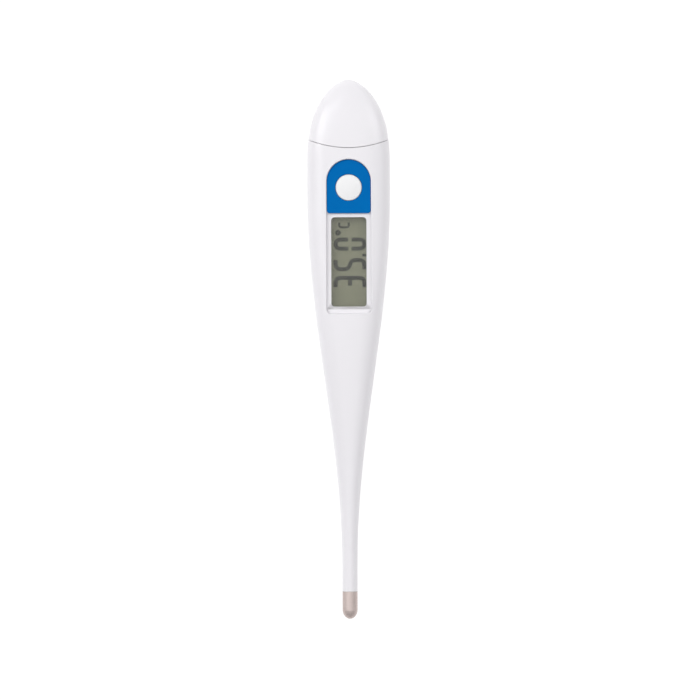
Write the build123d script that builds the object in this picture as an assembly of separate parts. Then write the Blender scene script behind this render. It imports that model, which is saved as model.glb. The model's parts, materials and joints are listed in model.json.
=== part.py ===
from build123d import *
from math import cos, pi, sin, sqrt, tau
import os

# A pocket digital thermometer lying on its back.
# X runs across it, Y from the probe tip to the cap, Z out of the display side.
# The origin is under the middle of its bounding box. All sizes are in millimetres.

# ---- outer form -----------------------------------------------------------
LENGTH = 124.0            # probe tip to cap apex
WIDTH = 19.0              # widest part of the grip
THICKNESS = 10.6          # back face to display face
STEM_DIAMETER = 3.5       # moulded probe stem
PROBE_LENGTH = 12.0       # straight part of the probe, before the flare
CAP_LENGTH = 15.7         # seam to cap apex on the centre line
SHOULDER_LENGTH = 10.3    # full-width part of the grip in front of the seam
THICK_LENGTH = 33.3       # full-thickness part of the grip in front of the seam
CAP_ROUNDING = 20.0       # length over which the cap end closes in plan
CAP_THINNING = 18.0       # length over which the cap end closes in side view
BACK_CROWN = 0.2          # how far the rounded back would pass the flat it rests on
SEAM_RADIUS = 23.7        # the seam is an arc that bows toward the probe
SEAM_GAP = 0.12
WALL = 1.25               # thinnest side wall around the cavity

# ---- housing cavity -------------------------------------------------------
BACK_WALL = 1.4
PANEL_FLOOR = 1.0         # wall left between the cavity and the panel recess
CAVITY_CORNER = 1.6
CAVITY_LENGTH = 46.3      # cavity end wall to the seam
NECK_LENGTH = 33.0        # cone that joins the cavity to the bore of the stem
NECK_RADIUS = 3.0
BORE_RADIUS = 0.95

# ---- display and button panel ---------------------------------------------
PANEL_WIDTH = 10.2
PANEL_DEPTH = 1.2         # recess floor below the display face
PANEL_SHEET = 0.6         # thickness of the lens and of the bezel
PANEL_MARGIN = 2.7        # arch top to the seam
PANEL_CORNER = 1.0
RIM_RADIUS = 0.2          # rounding of the recess edge
PANEL_FIT = 0.06          # gap between the inserts and the recess wall
BEZEL_LENGTH = 12.4
BEZEL_CORNER = 0.7
LENS_LENGTH = 22.9
PANEL_JOINT = 0.15        # gap between bezel and lens
WINDOW_LENGTH = 20.5
WINDOW_WIDTH = 8.1
WINDOW_CORNER = 0.8
WINDOW_GAP = 0.9          # window edge to bezel edge

BUTTON_SETBACK = 6.5      # arch top to the button centre
BUTTON_RADIUS = 2.95
BUTTON_FIT = 0.1
BUTTON_PROUD = 0.15       # button edge above the bezel
BUTTON_DOME = 0.25
BUTTON_TRAVEL = 0.3
FLANGE_RADIUS = 3.6
FLANGE_THICKNESS = 0.25
FLANGE_FIT = 0.15         # flange to the pocket wall
FLANGE_PLAY = 0.02        # flange to the bezel above it
BUTTON_POST_RADIUS = 1.2
BUTTON_POST_DROP = 0.25   # post end below the cavity roof
BUTTON_PLAY = 0.05        # post to the switch plunger

# ---- switch under the button ----------------------------------------------
SWITCH_HALF = 2.25
SWITCH_HEIGHT = 2.2
SWITCH_FLOOR = 0.6        # floor of the dome well
DOME_RADIUS = 1.6
DOME_RISE = 0.45
DOME_SHEET = 0.08
LID_SHEET = 0.25
LID_HOLE = 1.1            # radius of the hole that guides the plunger

# ---- inner chassis and circuit board --------------------------------------
SLIDE_FIT = 0.15          # chassis to cavity
CHASSIS_LENGTH = 41.8     # front wall to the seam
CHASSIS_BACK = 5.3        # rear bulkhead to the seam
CHASSIS_WALL = 1.0        # front wall
BULKHEAD = 1.0            # rear wall, between the board and the battery
RAIL = 0.7                # side wall above the board
LEDGE = 0.7               # step in the side wall that the board rests on
FLOOR = 0.8
BOARD_Z = 4.3
BOARD_THICKNESS = 0.7
BOARD_FIT = 0.1
BOARD_START = 1.7         # chassis front wall to the board's front edge
PEG_RADIUS = 0.45
PEG_FIT = 0.05

# ---- liquid-crystal cell --------------------------------------------------
GLASS = 0.55
POLARIZER = 0.15
REFLECTOR = 0.2
SEAL = 0.05
CELL_MARGIN = 0.65        # glass beyond the window on each side
CELL_LEDGE = 1.8          # contact ledge of the front glass
CELL_TOP_GAP = 0.6        # cavity roof to the front polarizer
CELL_FIT = 0.06
FRAME_WALL = 0.55

# ---- battery --------------------------------------------------------------
BATTERY_RADIUS = 3.95     # button cell, 7.9 x 3.6
BATTERY_HEIGHT = 3.6
BATTERY_SETBACK = 0.7     # seam to battery centre
WELL_FIT = 0.1
LEAF = 0.2                # contact strip thickness
LEAF_LIFT = 0.15          # battery face to the flat part of the leaf below it
TRAY_FLOOR = 0.6
TRAY_FIT = 0.1            # tray to the inside of the cap's plug
POKE_RADIUS = 1.25

# ---- cap ------------------------------------------------------------------
PLUG_DEPTH = 4.7          # how far the cap's plug enters the housing
PLUG_WALL = 1.0
PLUG_FIT = 0.1
CAP_WALL = 1.4
SEAL_SETBACK = 2.8        # seam to the front of the seal groove
SEAL_WIDTH = 0.9
SEAL_DEPTH = 0.5
SEAL_PLAY = 0.05          # seal to each side of its groove
SEAL_FIT = 0.03           # seal to the cavity wall

# ---- probe tip ------------------------------------------------------------
TIP_LENGTH = 6.3
TIP_NOSE = 2.2            # length of the rounded nose
TIP_DIAMETER = 3.45
TIP_WALL = 0.175
TIP_OVERLAP = 1.5         # stem spigot inside the metal tip
TIP_GLUE = 0.05
LEAD_RADIUS = 0.15
LEAD_SPREAD = 0.25
BEAD_SETBACK = 1.4        # tip end to the sensor bead
BEAD_RADIUS = 0.6
BEAD_LENGTH = 1.8
POTTING_LENGTH = 4.3      # tip end to the end of the potting
PLEATS = 4                # folds that hold the slack of the leads
PLEAT_PITCH = 1.8
PLEAT_RISE = 1.9          # axis to the crest of a fold
PLEAT_BEND = 0.8
PLEAT_SETBACK = 8.0       # last fold to the chassis

# ---- heights and stations that several pieces share ------------------------
TIP_Y = -LENGTH / 2
APEX_Y = LENGTH / 2
SEAM_Y = APEX_Y - CAP_LENGTH
FLARE_START = TIP_Y + PROBE_LENGTH
FLARE_END = SEAM_Y - SHOULDER_LENGTH
THICK_START = SEAM_Y - THICK_LENGTH
AXIS_Z = THICKNESS / 2
STEM_RADIUS = STEM_DIAMETER / 2

RECESS_Z = THICKNESS - PANEL_DEPTH
SHEET_Z = RECESS_Z + PANEL_SHEET
ROOF_Z = RECESS_Z - PANEL_FLOOR
CAVITY_START = SEAM_Y - CAVITY_LENGTH
ARCH_Y = SEAM_Y - PANEL_MARGIN
BEZEL_Y = ARCH_Y - BEZEL_LENGTH
LENS_END = BEZEL_Y - PANEL_JOINT
LENS_START = LENS_END - LENS_LENGTH
WINDOW_END = BEZEL_Y - WINDOW_GAP
WINDOW_START = WINDOW_END - WINDOW_LENGTH
WINDOW_Y = (WINDOW_START + WINDOW_END) / 2
BUTTON_Y = ARCH_Y - BUTTON_SETBACK

CHASSIS_START = SEAM_Y - CHASSIS_LENGTH
CHASSIS_END = SEAM_Y - CHASSIS_BACK
CHASSIS_Z = BACK_WALL + SLIDE_FIT
FLOOR_Z = CHASSIS_Z + FLOOR
BOARD_TOP = BOARD_Z + BOARD_THICKNESS
BOARD_Y = CHASSIS_START + BOARD_START
BOARD_END = CHASSIS_END - BULKHEAD - BOARD_FIT

CELL_TOP = ROOF_Z - CELL_TOP_GAP
FRONT_GLASS_Z = CELL_TOP - POLARIZER - GLASS
REAR_GLASS_Z = FRONT_GLASS_Z - SEAL - GLASS
REFLECTOR_Z = REAR_GLASS_Z - REFLECTOR
CELL_HALF = WINDOW_WIDTH / 2 + CELL_MARGIN
CELL_START = WINDOW_START - CELL_MARGIN
CELL_END = WINDOW_END + CELL_MARGIN
LEDGE_END = CELL_END + CELL_LEDGE
FRAME_TOP = FRONT_GLASS_Z + GLASS - 0.05
BUTTON_POST_Z = ROOF_Z - BUTTON_POST_DROP
PLUNGER_TOP = BUTTON_POST_Z - BUTTON_PLAY
DOME_Z = BOARD_TOP + SWITCH_FLOOR
LID_Z = BOARD_TOP + SWITCH_HEIGHT

PLUG_Y = SEAM_Y - PLUG_DEPTH
BATTERY_Y = SEAM_Y - BATTERY_SETBACK
TRAY_INSET = PLUG_FIT + PLUG_WALL + TRAY_FIT
TRAY_Z = BACK_WALL + TRAY_INSET
TRAY_TOP = ROOF_Z - TRAY_INSET
BATTERY_Z = TRAY_Z + TRAY_FLOOR + LEAF + LEAF_LIFT
TRAY_END = BATTERY_Y + BATTERY_RADIUS + WELL_FIT + 0.95

BUZZER_Y = BUTTON_Y - 11.0
BUZZER_RADIUS = 5.0
BUZZER_PLATE = 0.15
CERAMIC_RADIUS = 3.6
CERAMIC = 0.2
SEAL_Y = SEAM_Y - SEAL_SETBACK
BEAD_Y = TIP_Y + BEAD_SETBACK


def ease(t):
    """Raised cosine: 0 at t = 0, 1 at t = 1, flat at both ends."""
    t = min(max(t, 0.0), 1.0)
    return (1 - cos(pi * t)) / 2


def closing(y, length, power, root):
    """1 along the grip, falling to 0 at the cap apex along a superellipse."""
    t = min(max((y - APEX_Y + length) / length, 0.0), 1.0)
    return (1 - t ** power) ** (1 / root)


def flare(y):
    return ease((y - FLARE_START) / (FLARE_END - FLARE_START))


def half_width(y):
    full = STEM_RADIUS + (WIDTH / 2 - STEM_RADIUS) * flare(y)
    return full * closing(y, CAP_ROUNDING, 2.5, 1.68)


def thickening(y):
    return ease((y - FLARE_START) / (THICK_START - FLARE_START))


def half_thickness(y):
    full = STEM_RADIUS + (THICKNESS / 2 - STEM_RADIUS) * thickening(y)
    return full * closing(y, CAP_THINNING, 2.5, 1.8)


def form_section(y):
    """Superellipse across the thermometer: round at the stem and squarer at the grip."""
    fullness = thickening(y) * closing(y, CAP_THINNING, 2.5, 2.0)
    power = 2.0 + 1.1 * fullness
    width = half_width(y)
    front = half_thickness(y)
    back = front + BACK_CROWN * fullness
    points = []
    for step in range(32):
        angle = tau * step / 32 - pi / 2
        c = cos(angle)
        s = sin(angle)
        k = (abs(c) ** power + abs(s) ** power) ** (-1 / power)
        rise = front if s > 0 else back
        points.append((width * c * k, y, AXIS_Z + rise * s * k))
    return Face(Wire(Spline(*points, periodic=True)))


def stations(start, end, count):
    return [start + (end - start) * i / count for i in range(count + 1)]


def outer_form():
    """Whole outside of the moulded plastic, stem shoulder to cap apex, in one skin."""
    levels = [TIP_Y + TIP_LENGTH, (TIP_Y + TIP_LENGTH + FLARE_START) / 2]
    levels += stations(FLARE_START, FLARE_END, 14)
    levels += [(FLARE_END + APEX_Y - CAP_ROUNDING) / 2]
    levels += [APEX_Y - CAP_ROUNDING * (1 - sin(pi / 2 * i / 9)) for i in range(9)]
    levels += [APEX_Y - 0.02]
    sections = [form_section(y) for y in levels]
    skin = loft(sections + [Vertex(0, APEX_Y, AXIS_Z)])
    return skin & block(-WIDTH, WIDTH, TIP_Y, APEX_Y + 1, 0, 2 * THICKNESS)


def block(x0, x1, y0, y1, z0, z1):
    centre = Pos((x0 + x1) / 2, (y0 + y1) / 2, (z0 + z1) / 2)
    return centre * Box(abs(x1 - x0), abs(y1 - y0), abs(z1 - z0))


def disc(radius, x, y, z0, z1):
    return Pos(x, y, (z0 + z1) / 2) * Cylinder(radius, z1 - z0)


def prism(outline, z0, z1):
    """Straight-sided solid over a plan outline."""
    return extrude(Pos(0, 0, z0) * outline, z1 - z0)


def seam_cylinder(gap):
    """Everything on the cap's side of the seam arc."""
    return Pos(0, SEAM_Y + SEAM_RADIUS, AXIS_Z) * Cylinder(SEAM_RADIUS + gap, 4 * THICKNESS)


def seam_side():
    """Station at which the seam arc meets the side of the grip."""
    return SEAM_Y + SEAM_RADIUS - sqrt(SEAM_RADIUS ** 2 - (WIDTH / 2) ** 2)


def cavity_half(y):
    """Half width of the cavity: it flares with the grip and then runs straight to its mouth,
    so that the moulding core pulls out."""
    mouth = half_width(seam_side())
    return STEM_RADIUS + (mouth - STEM_RADIUS) * flare(y) - WALL


def bar_section(y, half, z0, z1, corner):
    return Pos(0, y, (z0 + z1) / 2) * (Plane.XZ * RectangleRounded(2 * half, z1 - z0, corner))


def cavity_form(inset, start, end):
    """Solid that follows the cavity between two stations, smaller by the inset all round."""
    low = BACK_WALL + inset
    high = ROOF_Z - inset
    corner = max(CAVITY_CORNER - inset, 0.3)
    levels = stations(start, FLARE_END, 9)
    flared = loft([bar_section(y, cavity_half(y) - inset, low, high, corner) for y in levels])
    mouth = bar_section(FLARE_END, cavity_half(FLARE_END) - inset, low, high, corner)
    return flared + extrude(mouth, -(end - FLARE_END))


def straight_plug(inset, start, end):
    """Rounded bar that follows the straight mouth of the cavity."""
    half = cavity_half(SEAM_Y) - inset
    low = BACK_WALL + inset
    high = ROOF_Z - inset
    corner = max(CAVITY_CORNER - inset, 0.6)
    return extrude(bar_section(start, half, low, high, corner), -(end - start))


def arch(width, start, end, corner):
    """Plan outline with a round top and small corners at the bottom."""
    radius = width / 2
    plate = Pos(0, (start + end - radius) / 2) * Rectangle(width, end - radius - start)
    outline = plate + Pos(0, end - radius) * Circle(radius)
    return fillet(outline.vertices().group_by(Axis.Y)[0], corner)


def rounded_plate(half, start, end, corner):
    return Pos(0, (start + end) / 2) * RectangleRounded(2 * half, end - start, corner)


def turned(points, x, y):
    """Solid of revolution about a vertical axis from (radius, height) corners."""
    profile = make_face(Plane.XZ * Polyline(*points, close=True))
    return Pos(x, y, 0) * revolve(profile, Axis.Z)


def top_edges(solid):
    return solid.edges().group_by(Axis.Z)[-1]


# ---- housing ----------------------------------------------------------------
def neck_core():
    """Stem bore and the cone that opens into the cavity."""
    cone_start = CAVITY_START - NECK_LENGTH
    profile = Polyline(
        (0, TIP_Y, AXIS_Z),
        (BORE_RADIUS, TIP_Y, AXIS_Z),
        (BORE_RADIUS, cone_start, AXIS_Z),
        (NECK_RADIUS, CAVITY_START + 1, AXIS_Z),
        (0, CAVITY_START + 1, AXIS_Z),
        close=True,
    )
    return revolve(make_face(profile), Axis((0, 0, AXIS_Z), (0, 1, 0)))


def rod(radius, start, end):
    """Round bar along the probe axis."""
    profile = Pos(0, start, AXIS_Z) * (Plane.XZ * Circle(radius))
    return extrude(profile, -(end - start))


def recess_rim(shell):
    """Edges along which the panel recess breaks through the display face."""
    rim = []
    for edge in shell.edges():
        box = edge.bounding_box()
        across = max(abs(box.min.X), abs(box.max.X)) < PANEL_WIDTH / 2 + 0.2
        along = box.min.Y > LENS_START - 0.2 and box.max.Y < ARCH_Y + 0.2
        if across and along and box.min.Z > RECESS_Z + 0.15:
            rim.append(edge)
    return rim


def body_shell(form):
    """One-piece housing: probe stem, flared grip and open cap end."""
    shell = form - seam_cylinder(SEAM_GAP)
    spigot = TIP_Y + TIP_LENGTH - TIP_OVERLAP
    shell += rod(TIP_DIAMETER / 2 - TIP_WALL - TIP_GLUE, spigot, TIP_Y + TIP_LENGTH + 1)
    shell -= cavity_form(0, CAVITY_START, seam_side() + 2)
    shell -= neck_core()
    shell -= prism(arch(PANEL_WIDTH, LENS_START, ARCH_Y, PANEL_CORNER), RECESS_Z, 2 * THICKNESS)
    window = rounded_plate(WINDOW_WIDTH / 2, WINDOW_START, WINDOW_END, WINDOW_CORNER)
    shell -= prism(window, ROOF_Z - 1, RECESS_Z + 1)
    pocket_z = RECESS_Z - FLANGE_THICKNESS - BUTTON_TRAVEL - BUTTON_PLAY
    shell -= disc(FLANGE_RADIUS + FLANGE_FIT, 0, BUTTON_Y, pocket_z, RECESS_Z + 1)
    shell -= disc(BUTTON_POST_RADIUS + BUTTON_FIT, 0, BUTTON_Y, ROOF_Z - 1, RECESS_Z)
    return fillet(recess_rim(shell), RIM_RADIUS)


def display_lens():
    """Clear cover bonded over the window; its rim shows the white recess floor."""
    inset = PANEL_FIT
    outline = arch(PANEL_WIDTH - 2 * inset, LENS_START + inset, ARCH_Y, PANEL_CORNER - inset)
    outline -= Pos(0, LENS_END + LENGTH / 2) * Rectangle(2 * WIDTH, LENGTH)
    lens = prism(outline, RECESS_Z, SHEET_Z)
    return chamfer(top_edges(lens), 0.1)


def button_bezel():
    """Coloured arch insert around the button."""
    inset = PANEL_FIT
    outline = arch(PANEL_WIDTH - 2 * inset, BEZEL_Y, ARCH_Y - inset, BEZEL_CORNER)
    outline -= Pos(0, BUTTON_Y) * Circle(BUTTON_RADIUS + BUTTON_FIT)
    bezel = prism(outline, RECESS_Z, SHEET_Z)
    return fillet(top_edges(bezel), 0.15)


def power_button():
    """Domed round key with a retaining flange and a post that reaches the switch."""
    flange_z = RECESS_Z - FLANGE_THICKNESS - FLANGE_PLAY
    rim = SHEET_Z + BUTTON_PROUD
    edge = 0.12
    corners = [
        (0, BUTTON_POST_Z),
        (BUTTON_POST_RADIUS, BUTTON_POST_Z),
        (BUTTON_POST_RADIUS, flange_z),
        (FLANGE_RADIUS, flange_z),
        (FLANGE_RADIUS, flange_z + FLANGE_THICKNESS),
        (BUTTON_RADIUS, flange_z + FLANGE_THICKNESS),
        (BUTTON_RADIUS, rim - edge),
    ]
    crown = (0, rim + BUTTON_DOME)
    shoulder = (BUTTON_RADIUS - edge, rim)
    span = BUTTON_RADIUS - edge
    sphere = (span ** 2 + BUTTON_DOME ** 2) / (2 * BUTTON_DOME)
    halfway = (span / 2, crown[1] - sphere + sqrt(sphere ** 2 - span ** 2 / 4))
    lines = Polyline(*corners)
    bend = edge * (1 - sqrt(0.5))
    round_edge = ThreePointArc(corners[-1], (BUTTON_RADIUS - bend, rim - bend), shoulder)
    dome = ThreePointArc(shoulder, halfway, crown)
    closing_line = Line(crown, corners[0])
    profile = make_face(Plane.XZ * (Curve() + [lines, round_edge, dome, closing_line]))
    return Pos(0, BUTTON_Y, 0) * revolve(profile, Axis.Z)


# ---- probe ------------------------------------------------------------------
def nose_profile(radius, start, end):
    """Half outline of a bullet: elliptical nose, then straight to the end."""
    centre = TIP_Y + TIP_NOSE
    nose = centre - start
    angles = [pi / 2 * i / 8 for i in range(9)]
    curve = Spline(
        *[(radius * sin(a), centre - nose * cos(a), AXIS_Z) for a in angles],
        tangents=[(1, 0, 0), (0, 1, 0)],
    )
    lines = Polyline((radius, centre, AXIS_Z), (radius, end, AXIS_Z), (0, end, AXIS_Z),
                     (0, start, AXIS_Z))
    return make_face(Curve() + [curve, lines])


def bullet(radius, start, end):
    return revolve(nose_profile(radius, start, end), Axis((0, 0, AXIS_Z), (0, 1, 0)))


def probe_tip():
    """Drawn metal cup over the end of the stem."""
    end = TIP_Y + TIP_LENGTH - 0.02
    outer = bullet(TIP_DIAMETER / 2, TIP_Y, end)
    return outer - bullet(TIP_DIAMETER / 2 - TIP_WALL, TIP_Y + TIP_WALL, end + 1)


def thermistor():
    """Sensor bead: short rod with a round nose."""
    bead = rod(BEAD_RADIUS, BEAD_Y + BEAD_RADIUS, BEAD_Y + BEAD_LENGTH)
    return bead + Pos(0, BEAD_Y + BEAD_RADIUS, AXIS_Z) * Sphere(BEAD_RADIUS)


def tip_potting(bead, leads):
    """Thermally conductive filling that holds the bead in the metal tip."""
    fill = bullet(TIP_DIAMETER / 2 - TIP_WALL, TIP_Y + TIP_WALL, TIP_Y + POTTING_LENGTH)
    return fill - bead - leads


def lead_path(side):
    """Straight down the stem, pleated in the neck, then onto the board."""
    x = side * LEAD_SPREAD
    y = CHASSIS_START - PLEAT_SETBACK - PLEATS * PLEAT_PITCH
    z = AXIS_Z
    points = [(x, BEAD_Y + BEAD_LENGTH, z)]
    for fold in range(PLEATS):
        crest = AXIS_Z + (PLEAT_RISE if fold % 2 else -PLEAT_RISE)
        points += [(x, y, z), (x, y, crest)]
        z = crest
        y += PLEAT_PITCH
    landing = BOARD_TOP + LEAD_RADIUS + 0.03
    points += [(x, y, z), (x, y, landing), (x, BOARD_Y + 1.0, landing)]
    return FilletPolyline(*points, radius=PLEAT_BEND)


def sensor_leads():
    """Twin leads; the pleats are the slack that lets the chassis slide out."""
    wires = []
    for side in (-1, 1):
        path = lead_path(side)
        wires.append(sweep(Plane(origin=path @ 0, z_dir=(0, 1, 0)) * Circle(LEAD_RADIUS), path))
    return Compound(children=wires)


# ---- chassis ----------------------------------------------------------------
def tray_outline(inset, corner):
    half = cavity_half(SEAM_Y) - TRAY_INSET - inset
    return rounded_plate(half, CHASSIS_END - 1, TRAY_END - inset, corner)


def battery_tray():
    """Open tray behind the bulkhead, with a ring around the battery and a pull tab."""
    tray = prism(tray_outline(0, 2.5), TRAY_Z, TRAY_TOP - 0.4)
    tray -= prism(tray_outline(0.8, 1.8), TRAY_Z + TRAY_FLOOR, 2 * THICKNESS)
    ring = disc(BATTERY_RADIUS + WELL_FIT + 0.7, 0, BATTERY_Y, TRAY_Z, TRAY_TOP)
    outline = prism(tray_outline(0, 2.5), TRAY_Z, TRAY_TOP)
    tray += ring & outline
    tray -= disc(BATTERY_RADIUS + WELL_FIT, 0, BATTERY_Y, TRAY_Z + TRAY_FLOOR, 2 * THICKNESS)
    tray -= disc(POKE_RADIUS, 0, BATTERY_Y, 0, 2 * THICKNESS)
    tray -= block(BATTERY_RADIUS - 0.5, BATTERY_RADIUS + 1.7, CHASSIS_END, BATTERY_Y + 1.8,
                  BOARD_TOP - 0.2, THICKNESS)
    tray &= straight_plug(TRAY_INSET, CHASSIS_END - 1, TRAY_END + 1)
    tab = rounded_plate(3.0, TRAY_END - 2.0, TRAY_END + 5.0, 1.5)
    tab_solid = prism(tab, AXIS_Z - 1.6, AXIS_Z - 0.6)
    tab_solid -= disc(BATTERY_RADIUS + WELL_FIT, 0, BATTERY_Y, 0, 2 * THICKNESS)
    for step in (1.6, 2.7, 3.8):
        y = TRAY_END + step
        tab_solid += block(-2.2, 2.2, y - 0.25, y + 0.25, AXIS_Z - 0.7, AXIS_Z - 0.3)
    return tray + tab_solid


def peg_places():
    front = (5.3, LEDGE_END + 1.1)
    back = (6.0, BOARD_END - 1.3)
    return [(side * x, y) for x, y in (front, back) for side in (-1, 1)]


def channel(inset, start, end, z0, z1):
    """Square-cornered solid that follows the cavity's side walls."""
    sections = []
    for y in stations(start, FLARE_END, 9):
        outline = Rectangle(2 * (cavity_half(y) - inset), z1 - z0)
        sections.append(Pos(0, y, (z0 + z1) / 2) * (Plane.XZ * outline))
    half = cavity_half(FLARE_END) - inset
    return loft(sections) + block(-half, half, FLARE_END, end, z0, z1)


def chassis_frame():
    """Inner carrier that slides out of the housing with board, display and battery."""
    outer = cavity_form(SLIDE_FIT, CHASSIS_START, CHASSIS_END)
    inner_start = CHASSIS_START + CHASSIS_WALL
    inner_end = CHASSIS_END - BULKHEAD
    rail = SLIDE_FIT + RAIL
    frame = outer - channel(rail, inner_start, inner_end, BOARD_Z, ROOF_Z + 2)
    frame -= channel(rail + LEDGE, inner_start, inner_end, FLOOR_Z, BOARD_Z + 0.1)
    frame -= disc(BUZZER_RADIUS - 0.8, 0, BUZZER_Y, 0, FLOOR_Z + 0.1)
    frame -= block(-1.2, 1.2, CHASSIS_START - 1, inner_start + 0.1, AXIS_Z - 1.2, AXIS_Z + 1.2)
    frame += battery_tray()
    leaf_z = TRAY_Z + TRAY_FLOOR
    leaf_end = BATTERY_Y - BATTERY_RADIUS + 0.55
    frame -= block(-1.4, 1.4, inner_end - 0.5, leaf_end, leaf_z, BOARD_Z - 0.1)
    slot_x = BATTERY_RADIUS + 1.0
    top = BOARD_TOP + 1.8
    frame -= block(slot_x, slot_x + 1.1, inner_end - 0.5, CHASSIS_END + 1.2, BOARD_Z, top)
    for x, y in peg_places():
        frame += disc(PEG_RADIUS, x, y, FLOOR_Z - 0.1, BOARD_TOP + 0.3)
    return frame


def circuit_board():
    """Board that follows the carrier's side rails, with holes for the pegs."""
    board = channel(SLIDE_FIT + RAIL + BOARD_FIT, BOARD_Y, BOARD_END, BOARD_Z, BOARD_TOP)
    for x, y in peg_places():
        board -= disc(PEG_RADIUS + PEG_FIT, x, y, 0, THICKNESS)
    for x, y in cell_pegs():
        board -= disc(PEG_RADIUS + PEG_FIT, x, y, 0, THICKNESS)
    return board


# ---- display cell -----------------------------------------------------------
def cell_pegs():
    """Places of the two pegs that locate the cell holder on the board."""
    return [(side * (CELL_HALF - 0.7), CELL_START + 0.3) for side in (-1, 1)]


def lcd_frame():
    """Moulded holder that locates the glass cell and its contact strip on the board."""
    start = CELL_START - CELL_FIT - FRAME_WALL
    end = LEDGE_END + CELL_FIT + FRAME_WALL
    half = CELL_HALF + CELL_FIT
    frame = block(-half - FRAME_WALL, half + FRAME_WALL, start, end, BOARD_TOP, FRAME_TOP)
    cell_end = LEDGE_END + CELL_FIT
    frame -= block(-half, half, CELL_START - CELL_FIT, cell_end, REFLECTOR_Z, 2 * THICKNESS)
    inner = half - 0.7
    frame -= block(-inner, inner, CELL_START + 0.6, CELL_END - 0.3, 0, THICKNESS)
    slot_start = CELL_END + 0.25
    frame -= block(-half + 0.3, half - 0.3, slot_start, LEDGE_END, 0, THICKNESS)
    for x, y in cell_pegs():
        frame += disc(PEG_RADIUS, x, y, BOARD_Z, BOARD_TOP + 0.4)
    return frame


def cell_plate(z, thickness, start, end, inset):
    half = CELL_HALF - inset
    return block(-half, half, start + inset, end - inset, z, z + thickness)


def lcd_front_glass():
    """Upper glass, longer by the contact ledge."""
    return cell_plate(FRONT_GLASS_Z, GLASS, CELL_START, LEDGE_END, 0)


def lcd_rear_glass():
    return cell_plate(REAR_GLASS_Z, GLASS, CELL_START, CELL_END, 0)


def lcd_seal():
    """Thin border of glue that joins the glasses and keeps the crystal in."""
    z = FRONT_GLASS_Z - SEAL
    outer = cell_plate(z, SEAL, CELL_START, CELL_END, 0.1)
    return outer - cell_plate(z - 1, 3, CELL_START, CELL_END, 0.5)


def lcd_front_polarizer():
    return cell_plate(FRONT_GLASS_Z + GLASS, POLARIZER, CELL_START, CELL_END, 0.15)


def lcd_rear_polarizer():
    """Reflective polarizer under the cell."""
    return cell_plate(REFLECTOR_Z, REFLECTOR, CELL_START, CELL_END, 0.05)


def zebra_strip():
    """Rubber contact strip between the board and the glass ledge."""
    half = CELL_HALF - 0.3
    start = CELL_END + 0.35
    return block(-half, half, start, LEDGE_END - 0.1, BOARD_TOP, FRONT_GLASS_Z)


# ---- parts on the board -----------------------------------------------------
def chip_blob():
    """Black resin dome over the bare chip."""
    radius = 2.3
    height = 0.95
    sphere = (radius ** 2 + height ** 2) / (2 * height)
    ball = Pos(0, WINDOW_Y, BOARD_TOP + height - sphere) * Sphere(sphere)
    return ball & disc(radius + 1, 0, WINDOW_Y, BOARD_TOP, BOARD_TOP + height + 1)


def chip_row(places, length, width, height):
    return Compound(children=[
        block(x - width / 2, x + width / 2, y - length / 2, y + length / 2,
              BOARD_TOP, BOARD_TOP + height)
        for x, y in places
    ])


def chip_resistors():
    y = BUTTON_Y
    return chip_row([(-4.2, y - 0.6), (-4.2, y + 1.4), (4.2, y - 2.9)], 1.0, 0.5, 0.35)


def chip_capacitors():
    y = BUTTON_Y
    return chip_row([(4.1, y - 0.8), (-2.6, WINDOW_START + 4), (2.6, WINDOW_START + 4)], 1.6, 0.8, 0.5)


def switch_base():
    """Square moulded base of the switch with a round well for the snap dome."""
    half = SWITCH_HALF
    base = block(-half, half, BUTTON_Y - half, BUTTON_Y + half, BOARD_TOP, LID_Z)
    base = chamfer(base.edges().filter_by(Axis.Z), 0.3)
    return base - disc(DOME_RADIUS + 0.15, 0, BUTTON_Y, DOME_Z, THICKNESS)


def switch_cover():
    """Pressed metal lid with the hole that guides the plunger."""
    z = LID_Z
    half = SWITCH_HALF - 0.1
    lid = block(-half, half, BUTTON_Y - half, BUTTON_Y + half, z, z + LID_SHEET)
    lid = chamfer(lid.edges().filter_by(Axis.Z), 0.3)
    for side in (-1, 1):
        x = side * half
        clip = side * (SWITCH_HALF + 0.2)
        gap = side * (SWITCH_HALF + 0.02)
        lid += block(x, clip, BUTTON_Y - 0.8, BUTTON_Y + 0.8, z - 1.2, z + LID_SHEET)
        lid -= block(x, gap, BUTTON_Y - 0.9, BUTTON_Y + 0.9, z - 1.3, z)
    return lid - disc(LID_HOLE, 0, BUTTON_Y, z - 1, z + 1)


def switch_dome():
    """Thin snap disc that clicks under the plunger."""
    sphere = (DOME_RADIUS ** 2 + DOME_RISE ** 2) / (2 * DOME_RISE)
    centre = DOME_Z + DOME_RISE - sphere
    shell = Pos(0, BUTTON_Y, centre) * (Sphere(sphere) - Sphere(sphere - DOME_SHEET))
    return shell & disc(DOME_RADIUS, 0, BUTTON_Y, DOME_Z, DOME_Z + 1)


def switch_plunger():
    """Switch key: nib on the dome, flange under the lid, post up to the button."""
    nib = DOME_Z + DOME_RISE + 0.03
    flange = LID_Z - 0.55
    shoulder = LID_Z - 0.05
    post = LID_HOLE - 0.1
    plunger = turned([
        (0, nib), (0.6, nib), (0.6, flange), (1.5, flange), (1.5, shoulder),
        (post, shoulder), (post, PLUNGER_TOP), (0, PLUNGER_TOP),
    ], 0, BUTTON_Y)
    return chamfer(top_edges(plunger), 0.1)


def switch_terminals():
    """Four bent legs that solder the switch down."""
    legs = []
    for side in (-1, 1):
        for end in (-1, 1):
            y = BUTTON_Y + end * 1.55
            x = side * SWITCH_HALF
            leg = block(x, x + side * 0.2, y - 0.35, y + 0.35, BOARD_TOP, BOARD_TOP + 0.8)
            foot = block(x, x + side * 0.9, y - 0.35, y + 0.35, BOARD_TOP, BOARD_TOP + 0.2)
            legs.append(leg + foot)
    return Compound(children=legs)


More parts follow.
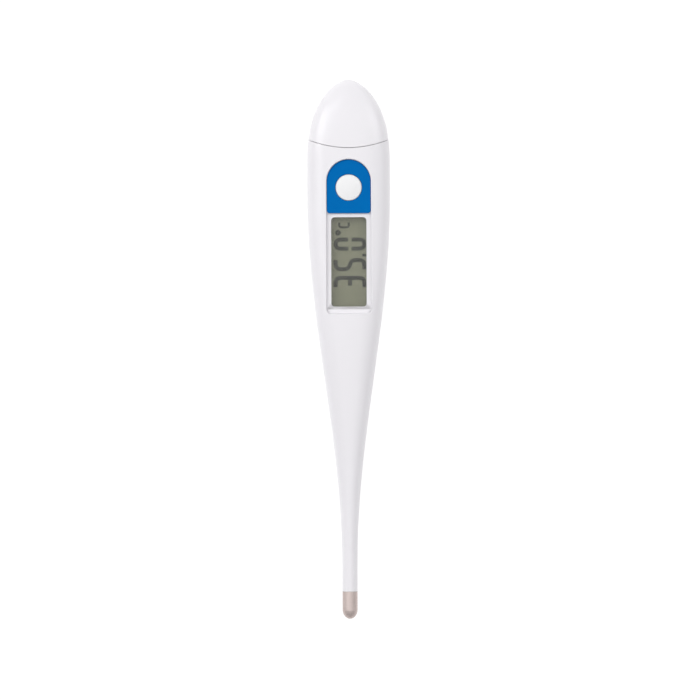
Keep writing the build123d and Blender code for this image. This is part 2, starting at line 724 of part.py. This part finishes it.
# ---- battery and contacts ---------------------------------------------------
def battery():
    """Button cell, small negative face down."""
    z = BATTERY_Z
    top = z + BATTERY_HEIGHT
    face = BATTERY_RADIUS - 1.0
    gasket = BATTERY_RADIUS - 0.5
    cell = turned([
        (0, z), (face, z), (face + 0.1, z + 0.25), (gasket, z + 0.25), (BATTERY_RADIUS, z + 0.6),
        (BATTERY_RADIUS, top), (0, top),
    ], 0, BATTERY_Y)
    return fillet(top_edges(cell), 0.3)


def battery_contact_negative():
    """Leaf spring: soldered under the board, through the bulkhead and up to the battery."""
    low = TRAY_Z + TRAY_FLOOR + 0.02
    start = CHASSIS_END - BULKHEAD - 2.6
    path = [
        (start, BOARD_Z - LEAF),
        (start + 1.3, BOARD_Z - LEAF),
        (start + 1.9, low),
        (CHASSIS_END + 1.0, low),
        (BATTERY_Y - 1.2, BATTERY_Z - LEAF),
        (BATTERY_Y + 0.6, BATTERY_Z - LEAF),
        (BATTERY_Y + 1.5, low + 0.05),
    ]
    return strip(path, -1.1, 1.1)


def strip(path, x0, x1):
    """Bent strip of contact metal, from the (y, z) path of its lower face."""
    lower = [(x0, y, z) for y, z in path]
    upper = [(x0, y, z + LEAF) for y, z in reversed(path)]
    return extrude(make_face(Polyline(*lower, *upper, close=True)), x1 - x0, dir=(1, 0, 0))


def battery_contact_positive():
    """Side spring: foot on the board, blade bowed onto the battery's rim."""
    x = BATTERY_RADIUS + 1.25
    start = BOARD_END - 1.6
    blade = [
        (x, start),
        (x, CHASSIS_END + 0.6),
        (BATTERY_RADIUS + 0.12, BATTERY_Y - 0.9),
        (BATTERY_RADIUS + 0.01, BATTERY_Y),
        (BATTERY_RADIUS + 0.12, BATTERY_Y + 0.9),
    ]
    far = [(px + LEAF, py) for px, py in reversed(blade)]
    z = BOARD_TOP
    outline = make_face(Polyline(*[(px, py, z) for px, py in blade + far], close=True))
    contact = extrude(outline, 1.5)
    foot = block(x - 0.9, x + LEAF, start, start + 1.5, z, z + LEAF)
    return contact + foot


# ---- sounder ----------------------------------------------------------------
def buzzer_plate():
    return disc(BUZZER_RADIUS, 0, BUZZER_Y, FLOOR_Z, FLOOR_Z + BUZZER_PLATE)


def buzzer_ceramic():
    z = FLOOR_Z + BUZZER_PLATE
    return disc(CERAMIC_RADIUS, 0, BUZZER_Y, z, z + CERAMIC)


def buzzer_leads():
    """Two short wires from the board down to the ceramic and to the plate."""
    wires = []
    rim = (BUZZER_RADIUS + CERAMIC_RADIUS) / 2
    for x, z in ((0, FLOOR_Z + BUZZER_PLATE + CERAMIC), (rim, FLOOR_Z + BUZZER_PLATE)):
        y = BUZZER_Y + 1.0
        path = Spline((x, y, z), (x, y + 0.5, (z + BOARD_Z) / 2), (x, y, BOARD_Z))
        section = Plane(origin=path @ 0, z_dir=path % 0) * Circle(0.12)
        wire = sweep(section, path)
        wires.append(wire & block(x - 1, x + 1, y - 1, y + 2, z, BOARD_Z))
    return Compound(children=wires)


# ---- cap --------------------------------------------------------------------
def cap_hollow():
    """Inside of the cap: straight through the plug, then closing with the outside."""
    inset = PLUG_FIT + PLUG_WALL
    half = cavity_half(SEAM_Y) - inset
    low = BACK_WALL + inset
    high = ROOF_Z - inset
    sections = []
    for y in [PLUG_Y - 1, SEAM_Y] + stations(SEAM_Y + 4, APEX_Y - 3.2, 5):
        width = min(half, half_width(y) - CAP_WALL)
        bottom = max(low, AXIS_Z - half_thickness(y) + CAP_WALL)
        top = min(high, AXIS_Z + half_thickness(y) - CAP_WALL)
        sections.append(bar_section(y, width, bottom, top, 0.5))
    return loft(sections, ruled=True)


def end_cap(form):
    """Battery cap: rounded end and a hollow plug with a seal groove."""
    cap = form & seam_cylinder(0)
    plug = straight_plug(PLUG_FIT, PLUG_Y, seam_side() + 1)
    groove = band(-1, SEAL_Y, SEAL_Y + SEAL_WIDTH + 2 * SEAL_PLAY)
    return cap + plug - groove - cap_hollow()


def band(inset, start, end):
    """Ring around the plug, from the floor of the seal groove outwards."""
    ring = straight_plug(inset, start, end)
    return ring - straight_plug(PLUG_FIT + SEAL_DEPTH, start - 1, end + 1)


def cap_seal():
    """Soft ring that keeps water out of the joint."""
    start = SEAL_Y + SEAL_PLAY
    return band(SEAL_FIT, start, start + SEAL_WIDTH)


def main():
    form = outer_form()
    bead = thermistor()
    leads = sensor_leads()
    nodes = {
        "body_shell": body_shell(form),
        "display_lens": display_lens(),
        "button_bezel": button_bezel(),
        "power_button": power_button(),
        "probe_tip": probe_tip(),
        "thermistor": bead,
        "tip_potting": tip_potting(bead, leads),
        "sensor_leads": leads,
        "chassis_frame": chassis_frame(),
        "circuit_board": circuit_board(),
        "lcd_frame": lcd_frame(),
        "lcd_front_glass": lcd_front_glass(),
        "lcd_rear_glass": lcd_rear_glass(),
        "lcd_seal": lcd_seal(),
        "lcd_front_polarizer": lcd_front_polarizer(),
        "lcd_rear_polarizer": lcd_rear_polarizer(),
        "zebra_strip": zebra_strip(),
        "chip_blob": chip_blob(),
        "chip_resistors": chip_resistors(),
        "chip_capacitors": chip_capacitors(),
        "switch_base": switch_base(),
        "switch_cover": switch_cover(),
        "switch_dome": switch_dome(),
        "switch_plunger": switch_plunger(),
        "switch_terminals": switch_terminals(),
        "battery": battery(),
        "battery_contact_negative": battery_contact_negative(),
        "battery_contact_positive": battery_contact_positive(),
        "buzzer_plate": buzzer_plate(),
        "buzzer_ceramic": buzzer_ceramic(),
        "buzzer_leads": buzzer_leads(),
        "end_cap": end_cap(form),
        "cap_seal": cap_seal(),
    }
    os.makedirs("parts", exist_ok=True)
    for name, solid in nodes.items():
        export_step(solid, f"parts/{name}.step")


main()
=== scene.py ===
import json

import bpy
import numpy as np
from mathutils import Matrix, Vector


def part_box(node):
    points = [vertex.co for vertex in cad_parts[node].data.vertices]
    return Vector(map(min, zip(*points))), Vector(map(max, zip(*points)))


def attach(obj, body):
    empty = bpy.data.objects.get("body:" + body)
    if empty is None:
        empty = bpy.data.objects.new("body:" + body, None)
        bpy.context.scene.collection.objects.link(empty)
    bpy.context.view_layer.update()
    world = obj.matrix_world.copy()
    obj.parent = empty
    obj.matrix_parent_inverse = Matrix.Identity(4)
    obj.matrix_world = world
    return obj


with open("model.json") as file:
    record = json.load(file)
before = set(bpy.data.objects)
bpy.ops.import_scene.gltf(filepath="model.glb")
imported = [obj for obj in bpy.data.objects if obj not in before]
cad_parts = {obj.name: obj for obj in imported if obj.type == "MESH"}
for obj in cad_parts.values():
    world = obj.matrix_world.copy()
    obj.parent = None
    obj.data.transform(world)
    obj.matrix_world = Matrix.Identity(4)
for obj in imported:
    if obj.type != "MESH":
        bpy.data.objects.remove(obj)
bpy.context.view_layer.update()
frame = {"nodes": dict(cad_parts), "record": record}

MM = 0.001
NODES = frame["nodes"]
SCENE = bpy.context.scene


# ---- camera: straight over the display side, cap at the top of the frame ----
FIELD = 161.0 * MM          # width that the frame takes in at the probe's axis
LENS = 400.0                # long, so that there is almost no perspective
SENSOR = 36.0
AIM = (0.18 * MM, -0.18 * MM)
ROLL = np.radians(-0.2)


def make_camera():
    """Camera looking straight down from far off, so that the frame is FIELD wide at the
    height of the probe's axis."""
    data = bpy.data.cameras.new("camera")
    data.lens = LENS
    data.sensor_width = SENSOR
    camera = bpy.data.objects.new("camera", data)
    low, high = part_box("probe_tip")
    camera.location = (*AIM, (low.z + high.z) / 2 + FIELD * LENS / SENSOR)
    camera.rotation_euler = (0, 0, ROLL)
    SCENE.collection.objects.link(camera)
    SCENE.camera = camera


make_camera()


# ---- materials --------------------------------------------------------------
NOISE_LOW = 0.3             # the noise stays mostly between these two values,
NOISE_HIGH = 0.7            # so the mottling runs over its whole range there


def linear(hex_code):
    """sRGB hex to linear RGBA."""
    c = np.array([int(hex_code[i:i + 2], 16) for i in (1, 3, 5)]) / 255
    low = c / 12.92
    high = ((c + 0.055) / 1.055) ** 2.4
    return (*np.where(c <= 0.04045, low, high).tolist(), 1.0)


def add(tree, kind, inputs=None, **settings):
    """Adds a node; inputs maps a socket to a value or to the output that feeds it."""
    node = tree.nodes.new(kind)
    for key, value in settings.items():
        setattr(node, key, value)
    for key, value in (inputs or {}).items():
        socket = node.inputs[key]
        if isinstance(value, bpy.types.NodeSocket):
            tree.links.new(value, socket)
        else:
            socket.default_value = value
    return node


def new_material(name):
    """Empty node material with its output; returns (material, tree, output node)."""
    material = bpy.data.materials.new(name)
    material.use_nodes = True
    tree = material.node_tree
    tree.nodes.clear()
    return material, tree, add(tree, "ShaderNodeOutputMaterial")


def opaque_finish(name, colours, rough, blotch=3.0, grain=(0.25, 0.002), squeeze=(1, 1, 1),
                  **sockets):
    """Opaque finish: two close colours and two roughnesses mottled in blotches that are
    blotch mm across, over a grain whose width and depth are given in mm. The squeeze divides
    the pattern's size along each axis; sockets sets the shader's other sockets."""
    material, tree, out = new_material(name)
    place = add(tree, "ShaderNodeTexCoord").outputs["Object"]
    place = add(tree, "ShaderNodeMapping", {"Vector": place, "Scale": squeeze}).outputs[0]
    grain_width, grain_depth = grain
    mottle, pores = (
        add(tree, "ShaderNodeTexNoise", {"Vector": place, "Scale": 1.0 / (size * MM)}).outputs["Fac"]
        for size in (blotch, grain_width))

    colour = add(tree, "ShaderNodeValToRGB", {"Fac": mottle})
    first, last = colour.color_ramp.elements
    first.position = NOISE_LOW
    first.color = linear(colours[0])
    last.position = NOISE_HIGH
    last.color = linear(colours[1])
    roughness = add(tree, "ShaderNodeMapRange", {
        "Value": mottle, "From Min": NOISE_LOW, "From Max": NOISE_HIGH,
        "To Min": rough[0], "To Max": rough[1],
    })
    relief = add(tree, "ShaderNodeBump", {
        "Height": pores, "Distance": grain_depth * MM, "Strength": 1.0,
    })

    inputs = {
        "Base Color": colour.outputs[0],
        "Roughness": roughness.outputs[0],
        "Normal": relief.outputs[0],
    }
    inputs.update({key.replace("_", " "): value for key, value in sockets.items()})
    shader = add(tree, "ShaderNodeBsdfPrincipled", inputs)
    tree.links.new(shader.outputs[0], out.inputs["Surface"])
    return material


def clear_sheet(name, hex_code, ior, rough):
    """Thin clear sheet: light passes straight through, and the outer face alone has a gloss
    that grows at grazing angles."""
    material, tree, out = new_material(name)
    passing = add(tree, "ShaderNodeBsdfTransparent", {"Color": linear(hex_code)})
    gloss = add(tree, "ShaderNodeBsdfGlossy", {"Roughness": rough, "Color": linear("#FFFFFF")})
    fresnel = add(tree, "ShaderNodeFresnel", {"IOR": ior}).outputs[0]
    inside = add(tree, "ShaderNodeNewGeometry").outputs["Backfacing"]
    outside = add(tree, "ShaderNodeMath", {0: 1.0, 1: inside}, operation="SUBTRACT").outputs[0]
    share = add(tree, "ShaderNodeMath", {0: fresnel, 1: outside}, operation="MULTIPLY")
    mix = add(tree, "ShaderNodeMixShader", {
        0: share.outputs[0], 1: passing.outputs[0], 2: gloss.outputs[0],
    })
    tree.links.new(mix.outputs[0], out.inputs["Surface"])
    return material


FINISHES = {
    # White ABS moulded in a lightly spark-eroded tool: satin, with a soft broad highlight.
    # The erosion is 0.05 mm in reality and is drawn at 0.3 mm so that it shows.
    "housing_white": opaque_finish(
        "moulded white ABS", ("#ECEAEE", "#EDEBEF"), (0.28, 0.30), 6.0, (0.3, 0.0012), IOR=1.53),
    # Cast acrylic, polished: nearly invisible but for its gloss.
    "clear_lens": clear_sheet("polished clear acrylic", "#FEFEFE", 1.38, 0.04),
    # Blue ABS moulded in a polished tool: an even, deep blue whose weak gloss is blue too.
    "bezel_blue": opaque_finish(
        "polished blue ABS", ("#0063AE", "#0067B2"), (0.22, 0.28), 4.0, (0.3, 0.0006), IOR=1.53,
        Specular_IOR_Level=0.3, Specular_Tint=linear("#3FBCFF")),
    # White ABS moulded in a blasted tool: a touch brighter and duller than the housing.
    "button_white": opaque_finish(
        "moulded white key ABS", ("#EEEEEF", "#F1F1F2"), (0.30, 0.36), 3.0, (0.25, 0.0012),
        IOR=1.53),
    # Stainless cup, drawn and then spun against fine abrasive: faint rings round the probe.
    "tip_steel": opaque_finish(
        "spun stainless steel", ("#D0C2BE", "#D8CBC7"), (0.56, 0.62), 0.5, (0.12, 0.0015),
        (0.15, 4.0, 0.15), Metallic=1.0),
    # Epoxy dropped on the chip and left to flow: a black glossy drop, not quite smooth.
    "epoxy_dark": opaque_finish(
        "black glob-top epoxy", ("#101012", "#161618"), (0.25, 0.4), 1.0, (0.3, 0.004), IOR=1.55),
    # Epoxy cast with a mineral filler: dull mid grey with fine specks.
    "epoxy_grey": opaque_finish(
        "filled grey epoxy", ("#5E5E5C", "#6A6A67"), (0.5, 0.65), 0.6, (0.1, 0.004), IOR=1.55),
    # Enamel over copper: red-brown with a hard gloss.
    "wire_copper": opaque_finish(
        "enamelled copper", ("#A4552E", "#B5653A"), (0.25, 0.35), 1.0, (0.2, 0.001),
        Metallic=0.7, Coat_Weight=0.5, Coat_Roughness=0.1),
    # Undyed ABS moulded in a milled tool: off-white, and duller than the housing.
    "chassis_white": opaque_finish(
        "moulded natural ABS", ("#DAD9D4", "#E0DFDA"), (0.45, 0.55), 4.0, (0.25, 0.002), IOR=1.53),
    # Solder mask over woven glass: green, faintly uneven every 0.5 mm where the weave lies.
    "board_green": opaque_finish(
        "green solder mask", ("#17492A", "#1C5531"), (0.3, 0.4), 0.5, (0.5, 0.003), IOR=1.5),
    # Float glass: seen only by a thin sharp reflection.
    "cell_glass": clear_sheet("thin float glass", "#F8FAF8", 1.4, 0.02),
    # Stretched film with a hard coat: a slight warm grey under a hazy gloss.
    "polarizer": clear_sheet("neutral polarizing film", "#F2F2EC", 1.3, 0.18),
    # Metal-coated film behind a diffuser: flat olive grey, with no mirror image.
    "reflector": opaque_finish(
        "silver-grey reflective film", ("#7C7D71", "#808175"), (0.5, 0.6), 2.0, (0.1, 0.001),
        IOR=1.49),
    # Conductive and plain silicone in 0.1 mm layers: near black with fine dull stripes.
    "rubber_dark": opaque_finish(
        "layered contact rubber", ("#1B1B1B", "#2C2C2C"), (0.6, 0.75), 0.1, (0.1, 0.003),
        (1.0, 0.05, 0.05), IOR=1.45),
    # Moulded silicone: soft mid grey with no sharp highlight.
    "seal_rubber": opaque_finish(
        "grey silicone", ("#74777A", "#7C7F82"), (0.5, 0.6), 2.0, (0.15, 0.002), IOR=1.42),
    # Fired and sawn capacitor ceramic: dull tan with fine specks.
    "chip_ceramic": opaque_finish(
        "fired chip ceramic", ("#A58A66", "#B29671"), (0.4, 0.5), 0.4, (0.1, 0.002), IOR=1.6),
    # Glass glaze fired over a resistor: black and shiny.
    "resistor_black": opaque_finish(
        "glazed chip resistor", ("#141414", "#1C1C1C"), (0.2, 0.3), 0.5, (0.1, 0.001), IOR=1.5),
    # Nylon moulded with glass fibre: black and nearly matt.
    "switch_black": opaque_finish(
        "black nylon", ("#151516", "#1C1C1D"), (0.45, 0.55), 1.0, (0.1, 0.002), IOR=1.53),
    # Rolled steel strip under bright nickel: pale warm metal with streaks along its length.
    "spring_steel": opaque_finish(
        "nickel-plated spring strip", ("#C2BEB8", "#CCC8C2"), (0.25, 0.35), 0.6, (0.1, 0.001),
        (4.0, 0.3, 4.0), Metallic=1.0),
    # Drawn steel can under bright nickel: a neutral, slightly blurred mirror.
    "battery_steel": opaque_finish(
        "nickel-plated battery can", ("#C8C8C8", "#D2D2D2"), (0.2, 0.3), 1.2, (0.15, 0.001),
        Metallic=1.0),
    # Cold-rolled brass: yellow metal with streaks along the rolling.
    "plate_brass": opaque_finish(
        "rolled brass", ("#C9A24F", "#D3AE5C"), (0.28, 0.38), 0.8, (0.1, 0.001),
        (3.0, 0.3, 3.0), Metallic=1.0),
    # Silver fired on a ceramic disc: creamy, with a weak metallic sheen.
    "ceramic_cream": opaque_finish(
        "silvered piezo ceramic", ("#CFCABC", "#D8D3C6"), (0.4, 0.5), 0.8, (0.15, 0.002),
        Metallic=0.3),
}
# The rear glass is seen with the crystal and the reflector behind it as one olive-grey ground.
DISPLAY_GROUND = opaque_finish(
    "crystal over reflector", ("#9E9B90", "#A39F95"), (0.35, 0.45), 2.0, (0.1, 0.0005), IOR=1.5)


def dress_nodes():
    """Each CAD node takes the finish of its material slot, and the rear glass its own."""
    slots = {s["node"]: s["material_slot"] for s in frame["record"]["subparts"]}
    for name, node in NODES.items():
        node.data.materials.clear()
        node.data.materials.append(FINISHES[slots[name]])
    NODES["lcd_rear_glass"].data.materials[0] = DISPLAY_GROUND


dress_nodes()


# ---- new pieces -------------------------------------------------------------
def make_piece(name, points, face_groups, material, body):
    """Mesh object that rides on a body. The points are in metres; each group of faces is an
    array with one row of point numbers for each face."""
    faces = [face for group in face_groups for face in group.tolist()]
    mesh = bpy.data.meshes.new(name)
    mesh.from_pydata(points.reshape(-1, 3).tolist(), [], faces)
    mesh.update()
    mesh.materials.append(material)
    piece = bpy.data.objects.new(name, mesh)
    SCENE.collection.objects.link(piece)
    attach(piece, body)
    return piece


CORNER_STEPS = 5            # points on the curve of each corner


def rounded_path(corners, radius):
    """Open path whose corners become quadratic curves: p = (1-t)^2 a + 2t(1-t) c + t^2 b."""
    corners = np.array(corners, float)
    points = [corners[:1]]
    t = np.linspace(0, 1, CORNER_STEPS)[:, None]
    for before, corner, after in zip(corners[:-2], corners[1:-1], corners[2:]):
        a = corner + (before - corner) * min(1, radius / np.linalg.norm(before - corner))
        b = corner + (after - corner) * min(1, radius / np.linalg.norm(after - corner))
        points.append((1 - t) ** 2 * a + 2 * t * (1 - t) * corner + t ** 2 * b)
    points.append(corners[-1:])
    return np.concatenate(points)


def segment_bar(path, width, low, high):
    """Four-sided bar along a flat path: each station is offset half a width to both sides
    of the path, at the low and the high level."""
    step = np.gradient(path, axis=0)
    step /= np.linalg.norm(step, axis=1, keepdims=True)
    side = np.stack([-step[:, 1], step[:, 0]], axis=1) * width / 2
    left = path + side
    right = path - side
    ring = [(left, low), (right, low), (right, high), (left, high)]
    levels = [np.column_stack([edge, np.full(len(path), z)]) for edge, z in ring]
    return np.stack(levels, axis=1)


def bar_faces(stations, first):
    """Quads of a four-sided bar whose points start at number `first`: side k of station i
    joins corners k and k+1 of stations i and i+1, and both ends are closed."""
    start = np.arange(stations - 1)[:, None] * 4 + first
    corner = np.arange(4)[None, :]
    after = (corner + 1) % 4
    quads = np.stack([start + corner, start + after, start + 4 + after, start + 4 + corner],
                     axis=-1)
    near_end = np.array([[3, 2, 1, 0]]) + first
    far_end = np.array([[0, 1, 2, 3]]) + first + 4 * (stations - 1)
    return np.concatenate([quads.reshape(-1, 4), near_end, far_end])


# Strokes of each sign in a unit cell: u runs along the line of text, v up the sign.
GLYPHS = {
    "3": [[(0, 1), (1, 1), (1, 0), (0, 0)], [(0.15, 0.5), (0.95, 0.5)]],
    "5": [[(1, 1), (0, 1), (0, 0.52), (1, 0.48), (1, 0), (0, 0)]],
    "0": [[(0, 0.56), (0, 1), (1, 1), (1, 0.56)], [(0, 0.44), (0, 0), (1, 0), (1, 0.44)]],
    "point": [[(-0.3, 0), (0.3, 0)]],
    "degree": [[(0.5, 1), (0, 1), (0, 0), (1, 0), (1, 1), (0.5, 1)]],
    "C": [[(1, 1), (0, 1), (0, 0), (1, 0)]],
}
DIGIT = (2.1, 6.6)          # width and height in mm
DIGIT_FOOT = 3.55           # x of the digits' lower edge
STROKE = 0.92               # width of the digits' segments
SMALL_STROKE = 0.5          # width of the strokes of the unit
CORNER = 1.3                # corner radius, in stroke widths
SEGMENT_GAP = 0.01          # between the segments and the glasses


def lcd_readout():
    """Dark segments of the temperature readout, in the crystal layer between the glasses:
    bars along rounded paths. The line of text runs along +Y and its digits stand toward -X,
    so a stroke's point (u, v) lies at x = foot - v height, y = start + u width."""
    seal_low, seal_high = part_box("lcd_seal")
    low = seal_low.z / MM + SEGMENT_GAP
    high = seal_high.z / MM - SEGMENT_GAP
    signs = [
        # sign, start, foot, (width, height), stroke
        ("3", 14.3, DIGIT_FOOT, DIGIT, STROKE),
        ("5", 18.4, DIGIT_FOOT, DIGIT, STROKE),
        ("point", 21.6, DIGIT_FOOT, (1.0, 1.0), STROKE),
        ("0", 23.1, DIGIT_FOOT, DIGIT, STROKE),
        ("degree", 26.4, -2.1, (0.8, 0.8), SMALL_STROKE),
        ("C", 28.0, 0.0, (1.1, 2.2), SMALL_STROKE),
    ]
    points = []
    faces = []
    first = 0
    for sign, start, foot, (width, height), stroke in signs:
        for cell_path in GLYPHS[sign]:
            corners = [(foot - v * height, start + u * width) for u, v in cell_path]
            path = rounded_path(corners, CORNER * stroke)
            points.append(segment_bar(path, stroke, low, high).reshape(-1, 3))
            faces.append(bar_faces(len(path), first))
            first += len(points[-1])
    # Liquid crystal turned by its driving voltage: flat, nearly black with a violet cast.
    dark = opaque_finish("driven liquid crystal", ("#1C1A20", "#222026"), (0.5, 0.6), 2.0, IOR=1.5)
    return make_piece("lcd_readout", np.concatenate(points) * MM, faces, dark,
                      "chassis")


def tip_bond():
    """Bead of glue where the stem enters the metal tip: a torus about the probe's axis,
    p = ((R + r cos v) cos u, Y + r sin v, Z + (R + r cos v) sin u)."""
    turns = 72              # points round the probe
    girth = 10              # points round the bead
    bead = 0.05             # r
    sunk = 0.01             # how far the bead's middle lies inside the tip's surface
    low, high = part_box("probe_tip")
    ring = (high.x - low.x) / 2 / MM - sunk
    u, v = np.meshgrid(np.arange(turns) * 2 * np.pi / turns,
                       np.arange(girth) * 2 * np.pi / girth, indexing="ij")
    reach = ring + bead * np.cos(v)
    points = np.stack([reach * np.cos(u), high.y / MM + bead * np.sin(v),
                       (low.z + high.z) / 2 / MM + reach * np.sin(u)], axis=-1)
    here = np.arange(turns * girth).reshape(turns, girth)
    along = np.roll(here, -1, axis=0)
    around = np.roll(here, -1, axis=1)
    both = np.roll(along, -1, axis=1)
    faces = np.stack([here, around, both, along], axis=-1).reshape(-1, 4)
    # Clear epoxy wiped round the joint and cured: a thin, pale, glossy line.
    glue = opaque_finish("clear cured epoxy", ("#B9B3AC", "#C3BDB6"), (0.2, 0.3), 0.5,
                         (0.1, 0.001), IOR=1.55)
    return make_piece("tip_bond", points * MM, [faces], glue, "housing")


DOME_TURNS = 24             # points round a solder dome
DOME_ROWS = 13              # rows from its foot's middle to its top
DOME_SIZE = (0.42, 0.45, 0.34)      # half width in x and in y, and height


def solder_dome(x, y, z, first):
    """Solder dome on a flat foot, closed below:
    p = (x + a cos v cos u, y + b cos v sin u, z + h max(0, sin v)), v from -90 to 90 degrees."""
    across, along, height = DOME_SIZE
    u = np.arange(DOME_TURNS) * 2 * np.pi / DOME_TURNS
    v = np.linspace(-np.pi / 2, np.pi / 2, DOME_ROWS)[1:-1, None]
    rows = np.stack([x + across * np.cos(v) * np.cos(u), y + along * np.cos(v) * np.sin(u),
                     z + height * np.maximum(0, np.sin(v)) + 0 * u], axis=-1).reshape(-1, 3)
    points = np.concatenate([rows, [[x, y, z], [x, y, z + height]]])
    foot_middle = first + len(rows)
    top = foot_middle + 1
    here = np.arange(len(rows)).reshape(-1, DOME_TURNS) + first
    after = np.roll(here, -1, axis=1)
    quads = np.stack([here[:-1], after[:-1], after[1:], here[1:]], axis=-1).reshape(-1, 4)
    foot = np.stack([np.full(DOME_TURNS, foot_middle), after[0], here[0]], axis=-1)
    crown = np.stack([np.full(DOME_TURNS, top), here[-1], after[-1]], axis=-1)
    return points, [quads, foot, crown]


def solder_joints():
    """Solder domes on the feet of the switch and of the battery's side spring."""
    in_x, in_y = 0.15, 0.35             # from the corners of the switch's feet
    board_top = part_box("circuit_board")[1].z / MM
    low, high = (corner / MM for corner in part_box("switch_terminals"))
    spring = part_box("battery_contact_positive")[0] / MM
    spots = [(x, y) for x in (low.x + in_x, high.x - in_x) for y in (low.y + in_y, high.y - in_y)]
    spots.append((spring.x + 0.35, spring.y + 0.75))
    points = []
    faces = []
    first = 0
    for x, y in spots:
        shape, sides = solder_dome(x, y, board_top, first)
        points.append(shape)
        faces += sides
        first += len(shape)
    # Tin solder, melted and cooled: bright and neutral, with the least frosting.
    solder = opaque_finish("tin solder", ("#BFC0C2", "#CACBCD"), (0.16, 0.28), 0.4, (0.1, 0.002),
                           Metallic=1.0)
    return make_piece("solder_joints", np.concatenate(points) * MM, faces, solder,
                      "chassis")


lcd_readout()
tip_bond()
solder_joints()


# ---- floor and light ----------------------------------------------------------
def make_floor():
    """White table, wide enough for any view, just under the thermometer's back."""
    half = 3.0
    sunk = 0.05 * MM
    mesh = bpy.data.meshes.new("floor")
    mesh.from_pydata([(-half, -half, 0), (half, -half, 0), (half, half, 0), (-half, half, 0)],
                     [], [(0, 1, 2, 3)])
    floor = bpy.data.objects.new("floor", mesh)
    floor.location = (0, 0, -sunk)
    # Matt table lit through from below: even white, in which shadows stay faint.
    mesh.materials.append(opaque_finish(
        "lit white table", ("#8A8A8A", "#8C8C8C"), (0.8, 0.9), 200.0, (2.0, 0.001),
        Specular_IOR_Level=0.1, Emission_Color=linear("#FFFFFF"), Emission_Strength=0.82))
    SCENE.collection.objects.link(floor)


SOFTBOXES = [
    # name, place and side in metres, power in watts
    ("key_left", (-1.1, 0.60, 1.20), 1.0, 12.0),
    ("fill_right", (1.0, 0.60, 1.10), 0.8, 4.8),
    ("strip_left", (-0.40, 1.06, 1.40), 0.35, 1.7),
    ("strip_right", (0.80, 1.25, 1.02), 0.35, 0.4),
    ("overhead", (0.0, 0.10, 2.60), 2.0, 14.6),
]
ROOM_LIGHT = 0.38           # strength of the even white room


def make_light():
    """Square softboxes aimed at the middle of the thermometer, in an even white room."""
    for name, place, side, watts in SOFTBOXES:
        data = bpy.data.lights.new(name, "AREA")
        data.size = side
        data.energy = watts
        light = bpy.data.objects.new(name, data)
        light.location = place
        light.rotation_euler = Vector(place).to_track_quat("Z", "Y").to_euler()
        SCENE.collection.objects.link(light)
    world = bpy.data.worlds.new("studio")
    world.use_nodes = True
    background = world.node_tree.nodes["Background"]
    background.inputs["Color"].default_value = linear("#FFFFFF")
    background.inputs["Strength"].default_value = ROOM_LIGHT
    SCENE.world = world
    SCENE.view_settings.view_transform = "Standard"
    # The display stacks four clear sheets, and light must pass them on the way in and out.
    SCENE.cycles.transparent_max_bounces = 24


make_floor()
make_light()
